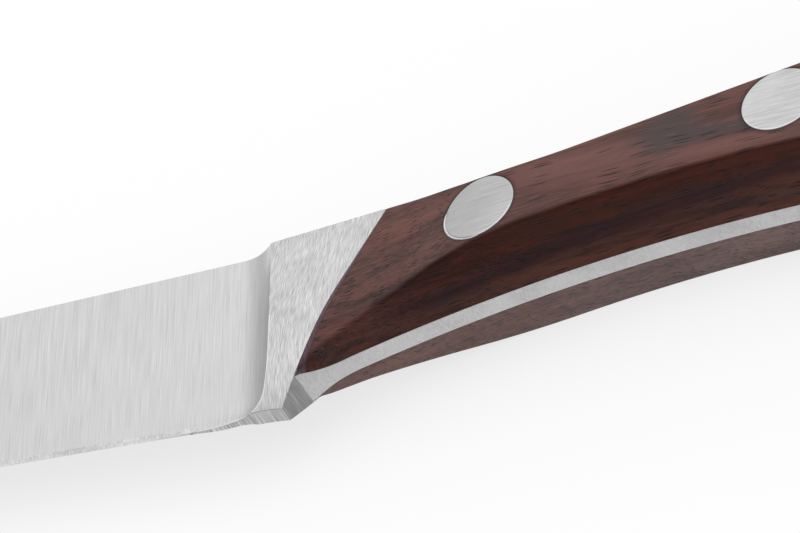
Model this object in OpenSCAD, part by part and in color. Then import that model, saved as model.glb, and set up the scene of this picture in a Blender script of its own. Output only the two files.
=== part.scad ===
// Forged paring knife with a full tang, two riveted wood scales and an integral bolster.
// The knife lies on its right side: X runs from tip to butt, Y from edge to spine, Z up.
// Inside the file, x = 0 is the bolster's front, y = 0 the spine and z = 0 the middle plane.

/* [Blade] */
// From the tip to the front of the bolster
blade_length = 125; // [90:1:160]
// From the spine to the cutting edge at the bolster
heel_height = 22.3; // [20:0.1:26]
// Angle at which the edge closes on the spine towards the tip
edge_taper = 2.6; // [1.5:0.1:4]
// Thickness of the blade at the spine, and of the tang behind it
blade_thickness = 2.1; // [1.6:0.1:2.6]
// Thickness of the blade where the cutting bevel starts
edge_thickness = 0.4; // [0.3:0.05:0.6]
// Angle of the cutting bevel on each side
edge_angle = 17; // [12:1:25]
// Length of the edge, from the bolster, that is straight
straight_edge = 80; // [60:1:85]
// How far the tip lies below the spine
tip_drop = 3; // [2:0.5:5]

/* [Bolster] */
// Half the bolster's thickness at its front edge
cheek_half = 3.45; // [3:0.05:4]
// Angle at which each cheek widens towards the handle
cheek_angle = 7.4; // [5:0.1:9]
// Height of the flat part of the cheek, below the spine
cheek_flat = 9.5; // [7:0.5:12]
// Radius of the cheek where it turns in to the chin
cheek_radius = 29; // [27:1:40]
// Length of the bolster along the spine
bolster_length = 13.4; // [11:0.1:15]
// Radius of the hollow between blade and bolster
hollow_radius = 5.5; // [5:0.1:7]
// Lean of the bolster's front edge, its top towards the tip
front_lean = 7.5; // [0:0.5:10]

/* [Handle outline] */
// From the bolster's front to the butt
handle_length = 110; // [104:1:118]
// Radius of the arch along the belly
belly_radius = 182; // [170:1:210]
// Distance from the bolster to the top of the belly's arch
belly_crest = 60; // [54:1:64]
// Depth of the belly's arch below the spine
belly_depth = 9.65; // [9:0.05:11]
// Where the back starts to rise, from the bolster's front
rise_start = 18; // [15:1:22]
// Radius of the hollow where the back starts to rise
rise_radius = 100; // [80:5:130]
// Slope of the back behind that hollow
rise_angle = 10; // [7:0.5:12]
// Where the hump starts, from the bolster's front
hump_start = 58; // [50:1:64]
// Radius of the hump along the back
hump_radius = 150; // [140:5:180]
// Radius of the butt's upper corner
butt_top_radius = 9; // [6:0.5:11]
// Radius of the butt's lower corner
butt_hook_radius = 7; // [5:0.5:8]

/* [Scales] */
// Half the handle's thickness across the flats
palm_half = 7.45; // [7:0.05:8.5]
// Slope of the bevels along the back and the belly
bevel_angle = 21; // [16:0.5:24]
// Distance from the bolster's front to the start of the flats
flare_end = 30; // [27:1:32]
// Radius of the swell in front of the flats
flare_radius = 48; // [40:1:60]
// Angle of the swell where it leaves the bolster's line
flare_angle = 14; // [12:0.5:16]
// How far the wood stands above the bolster at the joint
wood_proud = 0.1; // [0:0.05:0.2]

/* [Rivets] */
// Diameter of the flush heads
head_d = 8; // [7:0.1:8.4]
// Diameter of the tubular shank
socket_d = 5; // [4.5:0.1:5.4]
// Diameter of the solid shank pressed into the tube
post_d = 3.2; // [2.8:0.1:3.4]
// Distance from the bolster's front to the front rivet
front_rivet_x = 24.8; // [24:0.1:27]
// Distance of the front rivet below the spine
front_rivet_drop = 6.3; // [6:0.1:7]
// Distance from the butt to the rear rivet, with the middle rivet half way to the front one
rear_rivet_inset = 21.2; // [19:0.1:26]
// How far the middle rivet lies above the front one
middle_rivet_rise = 5; // [4:0.1:6]
// How far the rear rivet lies above the front one
rear_rivet_rise = 4.5; // [3.5:0.1:6]
// Height of the heads' seats above the middle plane
seat_height = 4.6; // [4:0.1:5]
// Gap round each shank and head
rivet_gap = 0.03; // [0.02:0.01:0.06]

/* [Hidden] */
$fn = 64;

far = 60;                       // reach of cutting shapes past the knife
arc_steps = 12;                 // chords along each long arc
tang_half = blade_thickness / 2;

// Blade: the edge in a frame that starts where the straight edge ends
edge_start = [-straight_edge, straight_edge * tan(edge_taper) - heel_height];
tip = [-blade_length, -tip_drop];
tip_run = (edge_start.x - tip.x) * cos(edge_taper) + (tip.y - edge_start.y) * sin(edge_taper);
tip_rise = (tip.y - edge_start.y) * cos(edge_taper) - (edge_start.x - tip.x) * sin(edge_taper);
edge_radius = (tip_run * tip_run + tip_rise * tip_rise) / (2 * tip_rise);
edge_sweep = 2 * atan(tip_rise / tip_run);
edge_margin = 2;                // degrees of edge past the tip, cut off by the spine
bevel_width = edge_thickness / 2 / tan(edge_angle);
flank_slope = (blade_thickness - edge_thickness) / 2 / (heel_height - bevel_width);
flank_angle = atan(flank_slope);
flank_top = heel_height + 4;    // the wedge runs past the spine and is cut back to it
spine_end = [-0.68 * blade_length, 0];
spine_radius = (pow(spine_end.x - tip.x, 2) + tip_drop * tip_drop) / (2 * tip_drop);
spine_sweep = asin((spine_end.x - tip.x) / spine_radius);

// Bolster: chin under the heel, joint line from the spine to the back of the chin
chin = [2.1, 0.35 - heel_height];
chin_back = [3.6, chin.y + 3.05];
bolster_front = -9;             // ahead of the point where the heel thins to nothing
joint_top = [bolster_length, 0];
joint_lean = atan((joint_top.x - chin_back.x) / (joint_top.y - chin_back.y));
crown_lift = 0.46;              // how much less the bolster's front is bevelled than the scales
crown_back = 0.2;               // the same at the joint
heel_wheel = 17;                // radius of the wheel that grinds the heel's underside
heel_crest = [-1, chin.y + 0.29]; // highest point of that grinding
hollow_bite = 0.05;             // depth of the hollow below the blade's flank
hollow_rise = cheek_half - tang_half;
hollow_run = sqrt(pow(hollow_radius, 2) - pow(hollow_radius - hollow_rise, 2));
hollow_end = chin.y + 2.6;     // where the hollow's corner turns along the edge
hollow_front = -1.8;           // front edge of the bolster at the spine
root_half = tang_half + 0.75;   // tang at the joint
root_length = 5;                // length over which the tang thins behind the joint
root_sunk = 1;                  // how far the thickening starts inside the bolster

// Handle: centres of the arcs, and the points where they touch
belly_centre = [belly_crest, -belly_depth - belly_radius];
belly_front = 9;                // where the arch meets the straight lead from the chin
rise_centre = [rise_start, rise_radius];
hump_touch = rise_centre + rise_radius * [sin(rise_angle), -cos(rise_angle)];
hump_top = [hump_start, hump_touch.y + (hump_start - hump_touch.x) * tan(rise_angle)];
hump_centre = hump_top + hump_radius * [sin(rise_angle), -cos(rise_angle)];
top_corner_x = handle_length - butt_top_radius;
top_corner_reach = hump_radius - butt_top_radius;
top_corner = [
    top_corner_x,
    hump_centre.y + sqrt(pow(top_corner_reach, 2) - pow(top_corner_x - hump_centre.x, 2))
];
hook_x = handle_length - butt_hook_radius;
hook_reach = belly_radius + butt_hook_radius;
hook = [hook_x, belly_centre.y + sqrt(pow(hook_reach, 2) - pow(hook_x - belly_centre.x, 2))];

// Rivets, and the origin half way between the middle and rear rivets on the right flat
front_rivet = [front_rivet_x, -front_rivet_drop];
rear_rivet = [handle_length - rear_rivet_inset, front_rivet.y + rear_rivet_rise];
middle_rivet = [(front_rivet.x + rear_rivet.x) / 2, front_rivet.y + middle_rivet_rise];
origin = (middle_rivet + rear_rivet) / 2;
socket_short = 0.3;             // the tube stops short of the other head
post_short = 0.8;               // the solid shank stops short of the tube's floor
tube_floor = 0.4;               // tube's bore stops above its own head

function angle_of(v) = atan2(v.y, v.x);

// Points along an arc; one that carries on from another arc leaves out their shared point
function arc(centre, radius, from, to, carries_on = false) =
    [for (i = [carries_on ? 1 : 0 : arc_steps])
        let (a = from + (to - from) * i / arc_steps)
        centre + radius * [cos(a), sin(a)]];

// The belly from the lead behind the chin to the hook, then up round the butt
function belly_line() = concat(
    arc(belly_centre, belly_radius,
        acos((belly_front - belly_centre.x) / belly_radius),
        angle_of(hook - belly_centre)),
    arc(hook, butt_hook_radius, angle_of(belly_centre - hook), 0, true));

// The back from the butt to the spine
function back_line() = concat(
    arc(top_corner, butt_top_radius, 0, angle_of(top_corner - hump_centre)),
    arc(hump_centre, hump_radius, angle_of(top_corner - hump_centre), 90 + rise_angle, true),
    arc(rise_centre, rise_radius, rise_angle - 90, -90));

// Points of an outline as seen along a bevel that leans by the given angle
function leaned(points, angle) = [for (p = points) [p.x, p.y * cos(angle)]];

// Moves the knife from the drawing's axes to the origin on the right flat
module place() {
    translate([-origin.x, -origin.y, palm_half]) children();
}

module both_sides() {
    children();
    mirror([0, 0, 1]) children();
}

// Cross-section of the blade, measured up from the edge
module blade_section() {
    polygon([
        [0, 0],
        [bevel_width, edge_thickness / 2],
        [flank_top, edge_thickness / 2 + (flank_top - bevel_width) * flank_slope],
        [flank_top, -edge_thickness / 2 - (flank_top - bevel_width) * flank_slope],
        [bevel_width, -edge_thickness / 2]
    ]);
}

// Side view of everything below the spine, with the drop towards the tip
module below_spine() {
    polygon(concat(
        [[chin.x, -far], [chin.x, 0]],
        arc(spine_end - [0, spine_radius], spine_radius, 90, 90 + spine_sweep),
        [[tip.x - 1, tip.y], [tip.x - 1, -far]]));
}

module blade_body() {
    intersection() {
        translate([edge_start.x, edge_start.y, 0]) rotate([0, 0, -edge_taper]) {
            rotate([90, 0, 90]) linear_extrude(straight_edge + far) blade_section();
            translate([0, edge_radius, 0])
                rotate([0, 0, -90])
                rotate_extrude(angle = -edge_sweep - edge_margin)
                translate([edge_radius, 0]) mirror([1, 0]) blade_section();
        }
        linear_extrude(far, center = true) below_spine();
    }
}

// Everything below one cheek's surface, raised by a given height
module under_cheek(raised = 0) {
    height = cheek_half + raised;
    turn = acos(1 - (height - tang_half / 2) / cheek_radius);
    profile = concat(
        [[far, -far], [far, height]],
        arc([-cheek_flat, height - cheek_radius], cheek_radius, 90, 90 + turn),
        [[-far, height - far], [-far, -far]]);
    rotate([0, -cheek_angle, 0]) rotate([90, 0, 90])
        linear_extrude(2 * far, center = true) polygon(leaned(profile, cheek_angle));
}

// Everything below the bevel along the back, from the plane of the tang's side, raised at the joint by a given height
module under_back_bevel(raised = 0) {
    profile = concat(
        back_line(),
        [joint_top + [0, raised], [bolster_front, crown_lift], [bolster_front, -far], [far + handle_length, -far],
            [far + handle_length, top_corner.y]]);
    translate([0, 0, tang_half]) rotate([bevel_angle, 0, 0])
        linear_extrude(2 * far, center = true) polygon(leaned(profile, bevel_angle));
}

// Everything above the bevel along the belly
module over_belly_bevel() {
    lead = belly_line()[0] - chin_back;
    lead_start = chin_back - lead;
    profile = concat(
        [lead_start],
        belly_line(),
        [[far + handle_length, hook.y], [far + handle_length, far], [lead_start.x, far]]);
    translate([0, 0, tang_half]) rotate([-bevel_angle, 0, 0])
        linear_extrude(2 * far, center = true) polygon(leaned(profile, bevel_angle));
}

// The ball-nosed hollow that leaves the blade and climbs to the bolster's front edge
module hollow() {
    floor_turn = [flank_angle, 0, 0];
    centre = [hollow_front - hollow_run, hollow_end, hollow_radius - hollow_bite];
    translate([0, 0, tang_half]) rotate(floor_turn) rotate([0, 0, front_lean]) {
        translate(centre) rotate([-90, 0, 0]) cylinder(r = hollow_radius, h = far);
        translate(centre) rotate([0, -90, 0]) cylinder(r = hollow_radius, h = far);
        translate(centre) sphere(r = hollow_radius);
        translate([centre.x - far, centre.y, -hollow_bite]) cube([far, far, far]);
    }
}

module bolster_body() {
    outline = [
        [bolster_front, 0], [bolster_front, chin.y], chin, chin_back, joint_top
    ];
    difference() {
        intersection() {
            linear_extrude(far, center = true) polygon(outline);
            under_cheek();
            mirror([0, 0, 1]) under_cheek();
            under_back_bevel(crown_back);
            mirror([0, 0, 1]) under_back_bevel(crown_back);
        }
        both_sides() hollow();
    }
}

// Outline of the tang, from inside the bolster to the butt
module tang_outline() {
    polygon(concat([chin_back], belly_line(), back_line(), [[0, 0], [0, chin.y / 2]]));
}

// The thickening at the tang's root, from inside the bolster to behind the joint
module tang_root() {
    intersection() {
        linear_extrude(far, center = true) tang_outline();
        translate([chin_back.x, chin_back.y, 0]) rotate([0, 0, -joint_lean])
            rotate([-90, 0, 0]) linear_extrude(far, center = true)
            polygon([
                [-root_sunk, -root_half], [0, -root_half], [root_length, -tang_half],
                [root_length, tang_half], [0, root_half], [-root_sunk, root_half]
            ]);
    }
}

module tang_body() {
    linear_extrude(blade_thickness, center = true) tang_outline();
    tang_root();
}

// The wheel that grinds the heel's underside from the edge to the chin
module heel_grinding() {
    translate([heel_crest.x, heel_crest.y - heel_wheel, 0])
        cylinder(r = heel_wheel, h = far, center = true, $fn = 4 * $fn);
}

module rivet_holes() {
    for (p = [front_rivet, middle_rivet, rear_rivet])
        translate([p.x, p.y, 0]) cylinder(d = socket_d + 2 * rivet_gap, h = far, center = true);
}

module forged_blade() {
    color("silver") place() difference() {
        union() {
            blade_body();
            bolster_body();
            tang_body();
        }
        heel_grinding();
        rivet_holes();
    }
}

// Everything inside the swell that brings the bolster's line out to the flats
module inside_swell() {
    straight_drop = (flare_end - flare_radius * sin(flare_angle)) * tan(flare_angle);
    shoulder = palm_half - flare_radius * (1 - cos(flare_angle));
    profile = concat(
        [[0, -far], [0, shoulder - straight_drop]],
        arc([flare_end, palm_half - flare_radius], flare_radius, 90 + flare_angle, 90),
        [[handle_length + far, palm_half], [handle_length + far, -far]]);
    rotate([90, 0, 0]) linear_extrude(2 * far, center = true) polygon(profile);
}

// The outer surface that a scale and the rivet heads in it are ground to
module ground_side() {
    under_cheek(wood_proud);
    inside_swell();
}

// Side view of the space between the joint and the butt, with the joint line drawn out
module behind_joint() {
    along = joint_top - chin_back;
    polygon([chin_back - along, [handle_length, -far], [handle_length, far], joint_top + along]);
}

module scale_piece() {
    difference() {
        intersection() {
            translate([0, 0, tang_half]) linear_extrude(palm_half - tang_half) behind_joint();
            under_back_bevel();
            over_belly_bevel();
            union() ground_side();
        }
        tang_root();
        rivet_holes();
        for (p = [front_rivet, middle_rivet, rear_rivet])
            translate([p.x, p.y, seat_height]) cylinder(d = head_d + 2 * rivet_gap, h = far);
    }
}

module left_scale() {
    color("sienna") place() scale_piece();
}

module right_scale() {
    color("saddlebrown") place() mirror([0, 0, 1]) scale_piece();
}

// A flush head on its seat, ground to the scale's surface
module rivet_head(p) {
    intersection() {
        translate([p.x, p.y, seat_height]) cylinder(d = head_d, h = palm_half - seat_height);
        union() ground_side();
    }
}

// Half with the solid shank, set from the left
module rivet_post(p) {
    reach = 2 * seat_height - tube_floor - post_short;
    rivet_head(p);
    translate([p.x, p.y, seat_height - reach]) cylinder(d = post_d, h = reach);
}

// Half with the tubular shank, set from the right
module rivet_socket(p) {
    length = 2 * seat_height - socket_short;
    mirror([0, 0, 1]) rivet_head(p);
    translate([p.x, p.y, -seat_height]) difference() {
        cylinder(d = socket_d, h = length);
        translate([0, 0, tube_floor]) cylinder(d = post_d + 2 * rivet_gap, h = length);
    }
}

module front_rivet_post() {
    color("gainsboro") place() rivet_post(front_rivet);
}

module front_rivet_socket() {
    color("darkgray") place() rivet_socket(front_rivet);
}

module middle_rivet_post() {
    color("gainsboro") place() rivet_post(middle_rivet);
}

module middle_rivet_socket() {
    color("darkgray") place() rivet_socket(middle_rivet);
}

module rear_rivet_post() {
    color("gainsboro") place() rivet_post(rear_rivet);
}

module rear_rivet_socket() {
    color("darkgray") place() rivet_socket(rear_rivet);
}

forged_blade();
left_scale();
right_scale();
front_rivet_post();
front_rivet_socket();
middle_rivet_post();
middle_rivet_socket();
rear_rivet_post();
rear_rivet_socket();
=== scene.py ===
# Paring knife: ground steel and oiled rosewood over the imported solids
import math
import bpy
import bmesh
import numpy as np
from mathutils import Matrix


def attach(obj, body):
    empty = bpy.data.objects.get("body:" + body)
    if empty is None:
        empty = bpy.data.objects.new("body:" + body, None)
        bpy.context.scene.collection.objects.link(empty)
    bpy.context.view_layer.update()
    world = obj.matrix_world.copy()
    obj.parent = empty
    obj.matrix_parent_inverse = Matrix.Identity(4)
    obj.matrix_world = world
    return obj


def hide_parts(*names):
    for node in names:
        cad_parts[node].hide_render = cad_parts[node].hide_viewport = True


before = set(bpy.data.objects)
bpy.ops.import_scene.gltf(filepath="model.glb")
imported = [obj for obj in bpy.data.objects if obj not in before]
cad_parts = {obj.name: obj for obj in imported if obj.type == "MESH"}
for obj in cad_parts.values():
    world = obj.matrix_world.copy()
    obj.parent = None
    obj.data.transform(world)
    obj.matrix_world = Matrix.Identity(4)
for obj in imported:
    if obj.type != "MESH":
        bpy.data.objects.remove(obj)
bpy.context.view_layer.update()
print("frame loaded:", len(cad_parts), "nodes")

# Shapes are worked out in millimetres on the knife's own axes:
# x back from the bolster, y up from the spine, z out of the middle plane
knifeOrigin = np.array([72.8, -1.55, -7.45])     # the row's origin on those axes


def toRow(points):
    return (np.asarray(points, float) - knifeOrigin) / 1000


# Heights and lines that several pieces share

outline = {
    "length": 110.0, "bevelSlope": math.tan(math.radians(21)), "tangHalf": 1.05,
    "chin": (2.1, -21.95), "chinBack": (3.6, -18.9), "jointTop": 13.4,
    "bellyCentre": (60.0, -191.65), "bellyRadius": 182.0, "bellyFront": 9.0, "hookRadius": 7.0,
    "riseStart": 18.0, "riseRadius": 100.0, "riseAngle": math.radians(10),
    "humpStart": 58.0, "humpRadius": 150.0, "topRadius": 9.0,
    "cheekHalf": 3.45, "cheekFlat": -9.5, "cheekRadius": 31.2, "cheekRun": math.tan(math.radians(7.4)),
    "runFade": 0.7, "fadeTop": -12.0, "fadeLow": -22.0,
    "crownFront": (-9.0, 0.46), "crownBack": (22.4, 0.097),
    "palmHalf": 7.45, "swellEnd": 30.0, "swellRadius": 48.0, "swellAngle": math.radians(14),
    "woodProud": 0.1, "swellBlend": 0.25, "buttGap": 0.002, "backGap": 0.001,
}
jointSlope = (outline["jointTop"] - outline["chinBack"][0]) / -outline["chinBack"][1]
jointLean = math.atan(jointSlope)


# Lower of two heights, with the join rounded over a width k
def smoothMin(a, b, k):
    return np.minimum(a, b) - np.maximum(k - np.abs(a - b), 0) ** 2 / (4 * k)


def smoothMax(a, b, k):
    return -smoothMin(-a, -b, k)


# A quadratic bend from p to q, with its corner at c
def bend(p, c, q, t):
    return p * (1 - t) ** 2 + 2 * c * t * (1 - t) + q * t ** 2


# Belly: straight lead from the chin, long arch, then the round of the hook at the butt
def bellyLine(x):
    o = outline
    cx, cy = o["bellyCentre"]
    arch = lambda t: cy + np.sqrt(o["bellyRadius"] ** 2 - (t - cx) ** 2)
    x0, y0 = o["chinBack"]
    lead = y0 + (x - x0) * (arch(o["bellyFront"]) - y0) / (o["bellyFront"] - x0)
    hookX = o["length"] - o["hookRadius"]
    reach = o["bellyRadius"] + o["hookRadius"]
    hookY = cy + math.sqrt(reach ** 2 - (hookX - cx) ** 2)
    touch = cx + (hookX - cx) * o["bellyRadius"] / reach
    hook = hookY - np.sqrt(np.maximum(o["hookRadius"] ** 2 - (x - hookX) ** 2, 0))
    return np.where(x < o["bellyFront"], lead, np.where(x < touch, arch(np.minimum(x, touch)), hook))


# Back: level over the bolster, hollow, straight rise, hump, then the butt's upper corner
def backLine(x):
    o = outline
    a = o["riseAngle"]
    start = o["riseStart"]
    riseEnd = start + o["riseRadius"] * math.sin(a)
    rise = o["riseRadius"] - np.sqrt(o["riseRadius"] ** 2 - np.clip(x - start, 0, riseEnd - start) ** 2)
    riseY = o["riseRadius"] * (1 - math.cos(a))
    climb = riseY + (x - riseEnd) * math.tan(a)
    humpY = riseY + (o["humpStart"] - riseEnd) * math.tan(a)
    hx = o["humpStart"] + o["humpRadius"] * math.sin(a)
    hy = humpY - o["humpRadius"] * math.cos(a)
    hump = hy + np.sqrt(np.maximum(o["humpRadius"] ** 2 - (x - hx) ** 2, 0))
    cornerX = o["length"] - o["topRadius"]
    reach = o["humpRadius"] - o["topRadius"]
    cornerY = hy + math.sqrt(reach ** 2 - (cornerX - hx) ** 2)
    touch = hx + (cornerX - hx) * o["humpRadius"] / reach
    corner = cornerY + np.sqrt(np.maximum(o["topRadius"] ** 2 - (x - cornerX) ** 2, 0))
    y = np.where(x < riseEnd, rise, climb)
    return np.where(x < o["humpStart"], y, np.where(x < touch, hump, corner))


# Where the bevels along the back start: level with the back,
# or on a straight crown over the bolster
def crownLine(x):
    (x0, y0), (x1, y1) = outline["crownFront"], outline["crownBack"]
    return np.maximum(backLine(x), np.where(x < x1, y0 + (y1 - y0) * (x - x0) / (x1 - x0), -np.inf))


# Half thickness of the bolster's cheek: level at the top, an arc towards the chin, widening with x,
# but less so at the heel
def cheekHeight(x, y):
    o = outline
    drop = np.maximum(o["cheekFlat"] - y, 0)
    turn = o["cheekRadius"] - np.sqrt(np.maximum(o["cheekRadius"] ** 2 - drop ** 2, 1))
    t = np.clip((o["fadeTop"] - y) / (o["fadeTop"] - o["fadeLow"]), 0, 1)
    return o["cheekHalf"] - turn + o["cheekRun"] * x * (1 - o["runFade"] * t * t * (3 - 2 * t))


# Half thickness across the handle: the cheek's surface carried on, or the swell up to the flats
def palmHeight(x, y):
    o = outline
    start = o["swellEnd"] - o["swellRadius"] * math.sin(o["swellAngle"])
    shoulder = o["palmHalf"] - o["swellRadius"] * (1 - math.cos(o["swellAngle"]))
    inArc = np.clip(o["swellEnd"] - x, 0, o["swellEnd"] - start)
    arc = o["palmHalf"] - o["swellRadius"] + np.sqrt(o["swellRadius"] ** 2 - inArc ** 2)
    swell = np.where(x > start, arc, shoulder - (start - x) * math.tan(o["swellAngle"]))
    return np.minimum(smoothMax(cheekHeight(x, y) + o["woodProud"], swell, o["swellBlend"]), o["palmHalf"])


# Distance behind the slanted joint between bolster and scales
def behindJoint(x, y):
    return (x - outline["jointTop"] - y * jointSlope) * math.cos(jointLean)


# Mesh helpers

# Quads between the rows of a grid whose columns close round
def ringQuads(rows, cols, first=0):
    index = first + np.arange(rows * cols).reshape(rows, cols)
    a, b = index[:-1], index[1:]
    return np.stack([a, np.roll(a, -1, 1), np.roll(b, -1, 1), b], -1).reshape(-1, 4)


# A closed skin from a grid of points: rows along the piece, columns round its section, a zone for each quad.
# Each end is closed by quads across the section, from column j to the one at the same place beyond the middle
def skin(name, grid, zones):
    rows, cols = grid.shape[:2]
    quads, marks = ringQuads(rows, cols), zones.reshape(-1)
    half = cols // 2
    j = np.arange(half)
    for first, mark in ((0, marks[0]), ((rows - 1) * cols, marks[-1])):
        cap = first + np.stack([j, j + 1, -(j + 1) % cols, -j % cols], -1)
        quads = np.concatenate([quads, cap])
        marks = np.concatenate([marks, np.full(half, mark)])
    return build(name, toRow(grid.reshape(-1, 3)), quads, marks)


def addObject(name, data):
    made = bpy.data.objects.new(name, data)
    bpy.context.scene.collection.objects.link(made)
    return made


# Puts points and quads into a mesh, merges points that coincide and turns the faces outwards
def build(name, points, quads, marks):
    mesh = bpy.data.meshes.new(name)
    mesh.from_pydata(points.tolist(), [], quads.tolist())
    mesh.polygons.foreach_set("material_index", np.asarray(marks, np.int32))
    bm = bmesh.new()
    bm.from_mesh(mesh)
    bmesh.ops.remove_doubles(bm, verts=bm.verts, dist=2e-7)
    bmesh.ops.dissolve_degenerate(bm, edges=bm.edges, dist=1e-8)
    bmesh.ops.recalc_face_normals(bm, faces=bm.faces)
    if bm.calc_volume(signed=True) < 0:
        bmesh.ops.reverse_faces(bm, faces=bm.faces)
    bm.to_mesh(mesh)
    bm.free()
    return addObject(name, mesh)


# Smooth shading with creases kept sharp
def shade(piece, angle=28):
    piece.data.polygons.foreach_set("use_smooth", np.ones(len(piece.data.polygons), bool))
    piece.data.set_sharp_from_angle(angle=math.radians(angle))


# Cuts a tool's shape out of a piece and removes the tool
def bore(piece, tool):
    cut = piece.modifiers.new("bore", "BOOLEAN")
    cut.operation = "DIFFERENCE"
    cut.solver = "MANIFOLD"
    cut.object = tool
    graph = bpy.context.evaluated_depsgraph_get()
    mesh = bpy.data.meshes.new_from_object(piece.evaluated_get(graph))
    piece.modifiers.clear()
    old = piece.data
    while len(mesh.materials) > len(old.materials):
        mesh.materials.pop()
    piece.data = mesh
    bpy.data.meshes.remove(old)
    spare = tool.data
    bpy.data.objects.remove(tool)
    bpy.data.meshes.remove(spare)
    mesh.name = piece.name


# Points of a profile of radii and heights turned about an upright axis
def turnedGrid(centre, radius, height, steps):
    angle = np.linspace(0, 2 * math.pi, steps, endpoint=False)
    x = centre[0] + radius[:, None] * np.cos(angle)
    y = centre[1] + radius[:, None] * np.sin(angle)
    return np.stack([x, y, np.broadcast_to(height, x.shape)], -1)


# Rivets: places and sizes, which the wood's look needs as well

rivet = {
    "places": {"front": (24.8, -6.3), "middle": (56.8, -1.3), "rear": (88.8, -1.8)},
    "headRadius": 4.0, "socketRadius": 2.5, "postRadius": 1.6, "seat": 4.6, "gap": 0.04,
    "tubeEnd": -4.3, "tubeFloor": 4.2, "postEnd": -3.0, "postTip": 0.2, "faceRows": 12, "faceGap": 0.06,
    "rim": 0.12, "rimTurn": (15, 30, 45, 60, 75, 90), "steps": 128, "boreReach": 9.0,
    # the lip's place and half width, and how far it must be smeared before the painted highlight moves onto
    # it
    "lipAt": math.radians(223), "lipHalf": 0.95, "lipHighlightFrom": 0.2,
    "lipRadius": (3.84, 3.88, 3.94, 4.02, 4.11, 4.17), "lipDrop": (0.06, 0.06, -0.01, -0.05, -0.03, 0.05),
    # the angle and half width of the painted highlight on the rims' lower side, then the wood's dark ring
    "highlightAt": math.radians(275), "highlightHalf": math.radians(70), "ringRadius": 4.5, "ringShare": 0.75,
}

# Looks


def grey(level, blue=None):
    return (level, level, level if blue is None else blue)


# Brushed steels: colours of bright and dark lines, the turn that lays the lines, lines to the metre,
# their length, shares of broad lines and clouds, roughness of dark and bright lines,
# and their height where it isn't the usual one
steelLook = {
    "steelAcrossBlade": dict(
        bright=grey(0.735, 0.733), dark=grey(0.58), turn=(0, 0, -8), fineness=11000, length=0.006,
        broad=0.2, cloud=0.15, rough=(0.40, 0.32)),
    "steelOnCheek": dict(
        bright=grey(1.0, 0.998), dark=grey(0.35), turn=(0, 0, 2), fineness=25000, length=0.0013,
        broad=0.12, cloud=0.2, rough=(0.42, 0.32), height=1.2),
    # painted highlight: bright steel for the bolster's lower front edge and the heel's lower corner
    "steelEdgeHighlight": dict(
        bright=grey(0.96), dark=grey(0.84), turn=(0, 0, -4), fineness=9000, length=0.002,
        broad=0.2, cloud=0.2, rough=(0.34, 0.28)),
    "steelOnCuttingBevel": dict(
        bright=grey(0.83), dark=grey(0.56), turn=(0, 0, -8), fineness=5000, length=0.0005,
        broad=0.5, cloud=0.8, rough=(0.40, 0.32)),
    "steelOnChin": dict(
        bright=grey(0.79), dark=grey(0.22, 0.222), turn=(90, 0, 0), fineness=12000, length=0.004,
        broad=0.4, cloud=0.4, rough=(0.45, 0.35)),
    "steelBehindChin": dict(
        bright=grey(0.38, 0.382), dark=grey(0.22, 0.222), turn=(90, 0, 0), fineness=14000, length=0.003,
        broad=0.3, cloud=0.3, rough=(0.45, 0.35)),
    "steelOnTang": dict(
        bright=grey(0.66), dark=grey(0.54), turn=(90, 35, 0), fineness=11000, length=0.0005,
        broad=0.2, cloud=1.2, rough=(0.5, 0.42)),
    "steelAlongRivet": dict(
        bright=grey(0.73, 0.728), dark=grey(0.44), turn=(0, 0, 88), fineness=14000, length=0.0035,
        broad=0.3, cloud=0.4, rough=(0.42, 0.34)),
    # painted highlight: brighter steel on the rims' lower side and on the front rivet's lip
    "steelRimHighlight": dict(
        bright=grey(0.84), dark=grey(0.7), turn=(0, 0, 88), fineness=9000, length=0.002,
        broad=0.2, cloud=0.2, rough=(0.36, 0.30)),
    "steelFrontRivet": dict(
        bright=grey(0.6, 0.598), dark=grey(0.44), turn=(0, 0, 88), fineness=13000, length=0.005,
        broad=0.3, cloud=0.5, rough=(0.42, 0.36)),
}
lineHeight = 3e-6
# The brushing's own noises: stretch, shift and detail. Then cells to the metre of depth,
# and the span of noise from dark to bright lines
brushLook = {
    "fine": ((1, 1, 1), (0, 0, 0), 1.0), "broad": ((0.27, 0.35, 0.3), (3, 7, 1), 3.0),
    "cloud": ((160, 160, 160), (9, 2, 4), 4.0), "depth": 900.0, "span": (-0.28, 0.28),
}
# Colours of the wood, and of the painted shade and the layers that multiply it on the bevel
woodLook = {
    "base": (0.172, 0.062, 0.050), "deep": (0.070, 0.026, 0.021), "red": (0.225, 0.072, 0.048),
    "pale": (0.225, 0.092, 0.078), "smoke": (0.072, 0.049, 0.050), "pore": (0.012, 0.007, 0.007),
    "ink": (0.024, 0.012, 0.011), "fleck": (0.200, 0.125, 0.108),
    "endLight": (0.170, 0.096, 0.122), "endDark": (0.095, 0.050, 0.068), "darkLine": (0.020, 0.010, 0.011),
    "bevelShade": (0.95, 0.97, 0.94), "redLayer": (0.72, 0.42, 0.30), "darkLayer": (0.44, 0.36, 0.52),
}
# Noises of the wood: waves to the metre along and across, shift, detail, roughness and distortion
grainNoise = {
    "sway": ((70, 90, 90), (0, 0, 0), 1.0, 0.55, 0.0),
    "broad": ((45, 700, 700), (0, 0, 0), 4.0, 0.6, 0.3),
    "fine": ((420, 6500, 6500), (1, 3, 2), 2.0, 0.65, 0.0),
    "Red": ((22, 300, 300), (2, 5, 8), 3.0, 0.5, 0.4),
    "Smoke": ((60, 420, 420), (4, 4, 1), 4.0, 0.6, 0.5),
    "Ink": ((24, 620, 620), (7, 1, 3), 5.0, 0.62, 0.3),
}
# Bands over the streaks: the range of noise in which each fades in, and its share of the colour
bandLook = {"Red": (0.46, 0.70, 0.65), "Smoke": (0.50, 0.70, 0.6), "Ink": (0.53, 0.66, 0.6)}
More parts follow.
